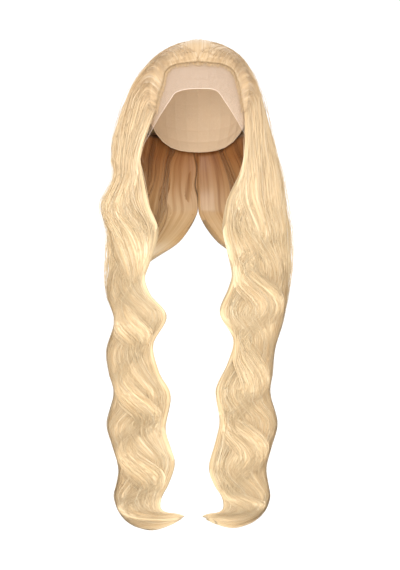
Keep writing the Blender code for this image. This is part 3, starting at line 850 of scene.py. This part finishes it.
def hairline_hairs(name, sheet, side, count, material, seed):
    """Short fine hairs whose roots lie a little before the hairline, on the lace."""
    rng = np.random.default_rng(seed)
    hair = Tubes(count, 12, 3)
    u = hair.down
    for n in range(count):
        share = rng.uniform(0.03, 0.5)
        row = u * rng.uniform(3.0, 6.0)
        drift = share + rng.uniform(-0.02, 0.02) * u
        spine = sheet.within(row, drift, np.full(len(u), ROOT_DEPTH))
        ahead = spine[0] - sheet.within(np.array([1.5]), np.array([share]), np.array([ROOT_DEPTH]))[0]
        ahead *= rng.uniform(1.5, 9.0) / np.linalg.norm(ahead)
        spine = spine + ahead[None] * ((1.0 - u) ** 2)[:, None]
        for k in range(len(u)):
            ray = Vector(spine[k]) - DOME_CENTRE
            seat = dome_reach(ray.normalized()) + LACE_WALL + 0.3
            spine[k] = DOME_CENTRE + ray.normalized() * (seat + (max(ray.length, seat) - seat) * u[k])
        outward = unit_rows(spine - np.array(DOME_CENTRE))
        sideways = unit_rows(np.cross(np.gradient(spine, axis=0), outward))
        size = ROOT_RADIUS * taper(u, 0.1, 0.2)
        ring = (sideways[:, None] * np.cos(hair.turn)[None, :, None]
                + outward[:, None] * np.sin(hair.turn)[None, :, None])
        hair.lay(n, spine[:, None] + ring * size[:, None, None], HAIR_STEP * n, row * ROOT_RUN)
    return hair.make(name, side, rng.uniform(-1.0, 0.6, count), material)


def middle_guide(offset, rows, low_z):
    """Line, sideways and outward directions of hair that goes straight back over the crown."""
    side = "right" if offset > 0.0 else "left"
    hairline = HAIRLINE[side]
    share = 0.5 - 0.12 * min(1.0, abs(offset) / 33.0)  # the hairline is 33 mm out at 0.38
    root = on_dome(abs(offset), table(hairline, "share", "z", share)) - DOME_CENTRE
    start = -math.degrees(math.atan2(-root.y, root.z))
    end = MIDDLE_LEAVES_DEG
    drop = dome_reach(direction(end, 180.0)) * math.cos(math.radians(end))
    fall = DOME_CENTRE.z + drop - low_z
    points, outward = [], []
    for k in range(rows):
        run = (MIDDLE_OVER + fall) * k / (rows - 1)
        alpha = start + (end - start) * min(run / MIDDLE_OVER, 1.0)
        turned = math.radians(abs(alpha))
        spread = offset * (0.75 + 1.3 * abs(offset) / MIDDLE_HALF * step_up(0.0, MIDDLE_OVER, run))
        unit = Vector((spread / MIDDLE_RADIUS, math.copysign(math.sin(turned), alpha), math.cos(turned)))
        unit.normalize()
        angle = math.degrees(math.acos(unit.z))
        around = math.degrees(math.atan2(abs(unit.x), -unit.y))
        rise = 0.25 + 0.75 * step_up(-0.12, 1.0, run / 30.0)
        full = crown_depth(angle, around, side)
        point = DOME_CENTRE + unit * (dome_reach(unit) + full * rise + MIDDLE_LIFT)
        point.z -= max(0.0, run - MIDDLE_OVER)
        points.append(tuple(point))
        outward.append(tuple(unit if run < MIDDLE_OVER else Vector((unit.x, unit.y, 0.0)).normalized()))
    points = np.array(points)
    forward = unit_rows(np.gradient(points, axis=0))
    sideways = unit_rows(np.cross(forward, np.array(outward)))
    return points, sideways, np.cross(sideways, forward)


def middle_tubes(name, count, half_width, thick, around, rows, material, seed):
    """Hair combed straight back over the middle of the crown, which covers where the two sides meet."""
    rng = np.random.default_rng(seed)
    hair = Tubes(count, rows, around)
    u = hair.down
    ends = np.sqrt(taper(u, 0.012, 0.35))
    half = half_width * (1.0 + 0.7 * u) * ends
    across = np.cos(hair.turn)[None] * half[:, None]
    lift = flat_round(hair.turn)[None] * (thick * ends)[:, None]
    for n in range(count):
        offset = MIDDLE_HALF * (2.0 * (n + 0.5) / count - 1.0) + rng.uniform(-1.0, 1.0)
        points, sideways, outward = middle_guide(offset, rows, rng.uniform(*MIDDLE_TIPS_Z))
        level = rng.uniform(-0.4, 0.4) - MIDDLE_DIVE * blend(0.4, 0.95, u)
        level -= MIDDLE_ROUND * (offset / MIDDLE_HALF) ** 2
        rings = (points[:, None] + sideways[:, None] * across[..., None]
                 + outward[:, None] * (lift + level[:, None])[..., None])
        hair.lay(n, rings, across + MIDDLE_STEP * n, u * MIDDLE_RUN)
    return hair.make(name, None, rng.uniform(-1.0, 1.0, count), material)


def linear(code):
    """A linear colour from an sRGB hex code."""
    parts = [int(code[k:k + 2], 16) / 255.0 for k in (1, 3, 5)]
    return tuple(c / 12.92 if c <= 0.04045 else ((c + 0.055) / 1.055) ** 2.4 for c in parts) + (1.0,)


def node(tree, kind, links=(), stops=(), **settings):
    """Adds a node with its settings, and a ramp's stops, and links sockets to its inputs."""
    made = tree.nodes.new("ShaderNode" + kind)
    for name, value in settings.items():
        if name.startswith("in_"):
            key = name[3:].replace("_", " ")
            made.inputs[int(key) if key.isdigit() else key].default_value = value
        else:
            setattr(made, name, value)
    for _ in stops[2:]:
        made.color_ramp.elements.new(0.5)
    for k, (place, code) in enumerate(stops):
        made.color_ramp.elements[k].position = place
        made.color_ramp.elements[k].color = linear(code)
    for socket, source in links:
        tree.links.new(source, made.inputs[socket])
    return made


def new_material(name):
    made = bpy.data.materials.new(name)
    made.use_nodes = True
    made.node_tree.nodes.clear()
    return made, made.node_tree


# Streaks of the combed fibres: turns a millimetre across and down, and their share of the shade.
# A single hair of 0.07 mm is too fine to show, so they are bundles about 2, 4 and 9 mm wide.
STREAKS = (
    (0.52, 0.006, 0.46),
    (0.27, 0.005, 0.32),
    (0.11, 0.004, 0.22),
)


# root is a painted shade colour, multiplied in near the roots and fading out over the given run down the
# fibres
def hair_material(name, low, middle, high, root="#E2D9D4", root_shade_fades=(60.0, 430.0)):
    """Bleached human hair, combed: smooth cuticle with a long soft gloss along the fibres.
    Fine streaks run with the fibre map, each lock has its own tone, and painted shade darkens the hair
    towards its roots."""
    made, tree = new_material(name)
    uv = node(tree, "UVMap", uv_map="fibre").outputs["UV"]
    noises = []
    for across, down, _ in STREAKS:
        stretched = node(tree, "Mapping", links=[("Vector", uv)], in_Scale=(across, down, 1.0))
        noises.append(node(tree, "TexNoise", links=[("Vector", stretched.outputs[0])], in_Scale=1.0,
                           in_Detail=2.0, in_Roughness=0.5).outputs["Fac"])
    tone = node(tree, "Attribute", attribute_name="tone").outputs["Fac"]
    shade = node(tree, "Math", operation="MULTIPLY", in_1=0.05, links=[(0, tone)]).outputs[0]
    for noise, (_, _, share) in zip(noises, STREAKS):
        shade = node(tree, "Math", operation="MULTIPLY_ADD", in_1=share,
                     links=[(0, noise), (2, shade)]).outputs[0]
    spread = node(tree, "MapRange", in_1=0.37, in_2=0.63, links=[(0, shade)]).outputs[0]
    colour = node(tree, "ValToRGB", links=[("Fac", spread)],
                  stops=[(0.0, low), (0.5, middle), (1.0, high)]).outputs["Color"]
    # Painted shade: the colour is multiplied by the root colour near the roots, fading out down the fibres
    down = node(tree, "SeparateXYZ", links=[("Vector", uv)]).outputs["Y"]
    painted_root_shade = node(tree, "MapRange", in_1=root_shade_fades[0], in_2=root_shade_fades[1], in_3=1.0, in_4=0.0,
                     links=[(0, down)]).outputs[0]
    colour = node(tree, "Mix", data_type="RGBA", blend_type="MULTIPLY", in_7=linear(root),
                  links=[(0, painted_root_shade), (6, colour)]).outputs[2]
    bump = node(tree, "Bump", in_Strength=0.5, in_Distance=0.0012, links=[("Height", shade)])
    tangent = node(tree, "Tangent", direction_type="UV_MAP", uv_map="fibre").outputs[0]
    shader = node(tree, "BsdfPrincipled", in_Roughness=0.40, in_IOR=1.55, in_Anisotropic=0.5,
                  in_Specular_IOR_Level=0.45, in_Sheen_Weight=0.2, in_Sheen_Roughness=0.4,
                  in_Sheen_Tint=linear("#FDEED2"),
                  links=[("Base Color", colour), ("Normal", bump.outputs[0]), ("Tangent", tangent)])
    node(tree, "OutputMaterial", links=[("Surface", shader.outputs[0])])
    return made


def lace_material():
    """Sheer knitted net of fine beige thread: nearly clear between the threads, denser at its cut edge.
    Real cells are under 1 mm, too fine to show, so they are drawn 1.8 mm wide."""
    made, tree = new_material("sheer hexagonal net lace")
    uv = node(tree, "UVMap", uv_map="net").outputs["UV"]
    cells = node(tree, "TexVoronoi", feature="DISTANCE_TO_EDGE", in_Scale=LACE_CELLS,
                 in_Randomness=0.15, links=[("Vector", uv)]).outputs["Distance"]
    thread = node(tree, "MapRange", in_1=0.04, in_2=0.16, in_3=0.60, in_4=0.10,
                  links=[(0, cells)]).outputs[0]
    to_edge = node(tree, "Attribute", attribute_name="to_edge").outputs["Fac"]
    edge = node(tree, "MapRange", in_1=0.5, in_2=1.1, in_3=0.9, in_4=0.0,
                links=[(0, to_edge)]).outputs[0]
    alpha = node(tree, "Math", operation="MAXIMUM", links=[(0, thread), (1, edge)]).outputs[0]
    shader = node(tree, "BsdfPrincipled", in_Base_Color=linear("#F3DDCB"), in_Roughness=0.75,
                  links=[("Alpha", alpha)])
    node(tree, "OutputMaterial", links=[("Surface", shader.outputs[0])])
    return made


def net_material():
    """Knitted stretch net of matt beige yarn: soft rows across it with small open cells between."""
    made, tree = new_material("knitted stretch cap net")
    place = node(tree, "TexCoord").outputs["Object"]
    rows = node(tree, "TexWave", wave_type="BANDS", bands_direction="Z", in_Scale=NET_ROWS,
                in_Distortion=0.6, links=[("Vector", place)]).outputs["Fac"]
    cells = node(tree, "TexVoronoi", feature="DISTANCE_TO_EDGE", in_Scale=NET_CELLS,
                 links=[("Vector", place)]).outputs["Distance"]
    mixed = node(tree, "Math", operation="MULTIPLY", links=[(0, rows), (1, cells)]).outputs[0]
    colour = node(tree, "ValToRGB", links=[("Fac", mixed)],
                  stops=[(0.0, "#D9C0A0"), (0.5, "#EBD9C0")]).outputs["Color"]
    bump = node(tree, "Bump", in_Strength=0.5, in_Distance=0.0005, links=[("Height", cells)])
    shader = node(tree, "BsdfPrincipled", in_Roughness=0.85,
                  links=[("Base Color", colour), ("Normal", bump.outputs[0])])
    node(tree, "OutputMaterial", links=[("Surface", shader.outputs[0])])
    return made


def floor_material():
    """Matt white paint: even and without gloss, lifted a little so that it stays white."""
    made, tree = new_material("matt white floor")
    shader = node(tree, "BsdfPrincipled", in_Base_Color=linear("#FCFCFC"), in_Roughness=0.9,
                  in_Emission_Color=linear("#FFFFFF"), in_Emission_Strength=0.12)
    node(tree, "OutputMaterial", links=[("Surface", shader.outputs[0])])
    return made


def lace_point(around_deg, share):
    """Point of the lace on a line down from the top: on the dome to the temples, then hanging."""
    edge = LACE_EDGE["right" if around_deg > 0.0 else "left"]
    lowest_z = table(edge, "around_deg", "z", abs(around_deg))
    off = table(edge, "around_deg", "stand_off", abs(around_deg))
    leaves = angle_at_height(around_deg, max(lowest_z, TEMPLE_Z))
    hanging = max(0.0, TEMPLE_Z - lowest_z)
    travelled = share * (leaves + hanging / HANG_PER_DEG)
    unit = direction(min(travelled, leaves), around_deg)
    point = DOME_CENTRE + unit * dome_reach(unit)
    point.z -= max(0.0, travelled - leaves) * HANG_PER_DEG
    level = Vector((unit.x, unit.y, 0.0)).normalized()
    return point + level * off * step_up(TEMPLE_Z - 8.0, min(lowest_z, TEMPLE_Z - 20.0), point.z)


def make_lace(material):
    """The lace in one piece, a thin sheet with a denser cut edge."""
    columns, rows = 160, 80
    points = np.zeros((rows + 1, columns + 1, 3))
    for j in range(rows + 1):
        for k in range(columns + 1):
            around_deg = -LACE_TURN_DEG + 2.0 * LACE_TURN_DEG * k / columns
            points[j, k] = lace_point(around_deg, LACE_TOP + (1.0 - LACE_TOP) * j / rows)
    mesh, k, row = grid("lace_veil", columns + 1, rows + 1)
    j = rows - row
    fall = np.linalg.norm(np.diff(points, axis=0), axis=2)
    down = np.concatenate([np.zeros((1, columns + 1)), np.cumsum(fall, axis=0)])
    turn = np.radians(-LACE_TURN_DEG + 2.0 * LACE_TURN_DEG * k / columns)
    net = np.stack([turn * LACE_RADIUS, down[j, k]], axis=1)
    slant = np.abs(np.gradient(down[-1])) / np.radians(2.0 * LACE_TURN_DEG / columns) / LACE_RADIUS
    to_edge = (down[-1][k] - down[j, k]) / np.sqrt(1.0 + np.minimum(slant[k], 3.0) ** 2)
    drape(mesh, points[j, k], "net", net, "to_edge", to_edge)
    made = put_piece("lace_veil", mesh, material)
    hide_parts("lace_front")


def make_side(side, blond, inner, under):
    """All the hair of one side, from its body out to the loose hairs, and the under hair behind it."""
    rng = np.random.default_rng(SEED + (side == "right"))
    sheet = outer_sheet(side)
    total = sheet.run[-1]
    plan = plan_locks(rng, "body", np.linspace(0.1, 1.85, 9), total, depth=5.5, width=34.0, thick=4.4)
    plan += plan_locks(rng, "body", np.linspace(0.04, 1.94, 20), total)
    sweep = plan_locks(rng, "sweep", np.linspace(-0.95, 0.95, 18), total, width=8.0, thick=1.5)
    for lock in sweep:
        dome = sweep_dome(lock["place"])
        lock["depth"] = SWEEP_LEVEL - dome * SWEEP_DOME + rng.uniform(-0.3, 0.3)
        lock["weave"] = dome * SWEEP_WEAVE
        lock["jitter"] *= 0.4
    body = core(side + "_hair_body", sheet, side, 6.5, inner)
    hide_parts(side + "_lengths", "crown_hair")
    lengths = [
        body,
        locks(side + "_hair_locks", sheet, side, plan, blond),
        tress(side + "_front_sweep", sheet, side, blond),
        locks(side + "_front_locks", sheet, side, sweep, blond),
        strands(side + "_fine_hairs", sheet, side, 300, blond, SEED + 20),
        edge_wisps(side + "_edge_wisps", sheet, side, 120, blond, SEED + 40),
        hairline_hairs(side + "_hairline_hairs", sheet, side, 320, blond, SEED + 50),
    ]
    sheet = nape_sheet(side)
    plan = plan_locks(rng, "body", np.linspace(0.1, 1.9, 11), sheet.run[-1], tip_taper=0.1)
    body = core(side + "_nape_body", sheet, side, 4.0, under, around=40, rows=110)
    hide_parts(side + "_nape_hair")
    nape = [
        body,
        locks(side + "_nape_locks", sheet, side, plan, under, around=12, rows=90),
        strands(side + "_nape_fine_hairs", sheet, side, 60, under, SEED + 30, sweep_part=0.0),
    ]


def make_hair():
    blond = hair_material("bleached human hair, combed", "#D6B88A", "#E9CFA4", "#F4E2C1")
    # A darker copy of the blond: painted shade for the body of the hair under the locks
    inner = hair_material("bleached human hair, painted shade under the top locks", "#CAAB7E", "#E2C79B", "#EFDBB7")
    # A darker copy again: painted shade for the under hair behind the lengths, with deeper painted shade near
    # its roots by the nape
    under = hair_material("bleached human hair, in shade", "#B8935F", "#D8B988", "#E8D0A4",
                          root="#B48A66", root_shade_fades=(40.0, 230.0))
    for side in ("left", "right"):
        make_side(side, blond, inner, under)
    middle = [
        middle_tubes("middle_locks", 13, 4.6, 2.4, 18, 90, blond, SEED + 3),
        middle_tubes("middle_fine_hairs", 90, FINE_RADIUS, FINE_RADIUS, 3, 70, blond, SEED + 4),
    ]


def make_stage():
    mesh = grid("floor", 2, 2)[0]
    mesh.transform(Matrix.Translation((0.0, 0.0, FLOOR_Z)) @ Matrix.Scale(FLOOR_HALF, 4))
    mesh.shade_smooth()
    mesh.materials.append(floor_material())
    put("floor", mesh)


def lamp(name, place, target, size, power):
    light = bpy.data.lights.new(name, "AREA")
    light.shape = "DISK"
    light.size = size
    light.energy = power
    made = put(name, light)
    made.location = place
    made.rotation_euler = (Vector(target) - Vector(place)).to_track_quat("-Z", "Y").to_euler()


def make_camera():
    data = bpy.data.cameras.new("camera")
    data.sensor_fit = "VERTICAL"
    data.sensor_height = 24.0
    data.lens = data.sensor_height * VIEW_DISTANCE / (PHOTO_HEIGHT * MM_PER_PIXEL * MM)
    made = put("camera", data)
    x, y, z = (v * MM for v in VIEW_MIDDLE)
    made.location = (x, y - VIEW_DISTANCE, z)
    made.rotation_euler = (math.pi / 2.0, 0.0, 0.0)
    bpy.context.scene.camera = made


def make_light():
    world = bpy.data.worlds.new("white studio")
    world.use_nodes = True
    sky = world.node_tree.nodes["Background"].inputs
    sky["Color"].default_value = (1.0, 1.0, 1.0, 1.0)
    sky["Strength"].default_value = 1.1
    bpy.context.scene.world = world
    bpy.context.scene.view_settings.view_transform = "Standard"
    lamp("key", (-0.5, -2.9, 0.5), (0, 0, -0.42), 1.4, 42.0)
    lamp("fill", (1.7, -2.0, -0.3), (0, 0, -0.40), 1.4, 4.0)


def main():
    make_camera()
    make_light()
    make_stage()
    make_hair()
    make_lace(lace_material())
    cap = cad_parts["wig_cap"]
    cap.data.materials.clear()
    cap.data.materials.append(net_material())


main()
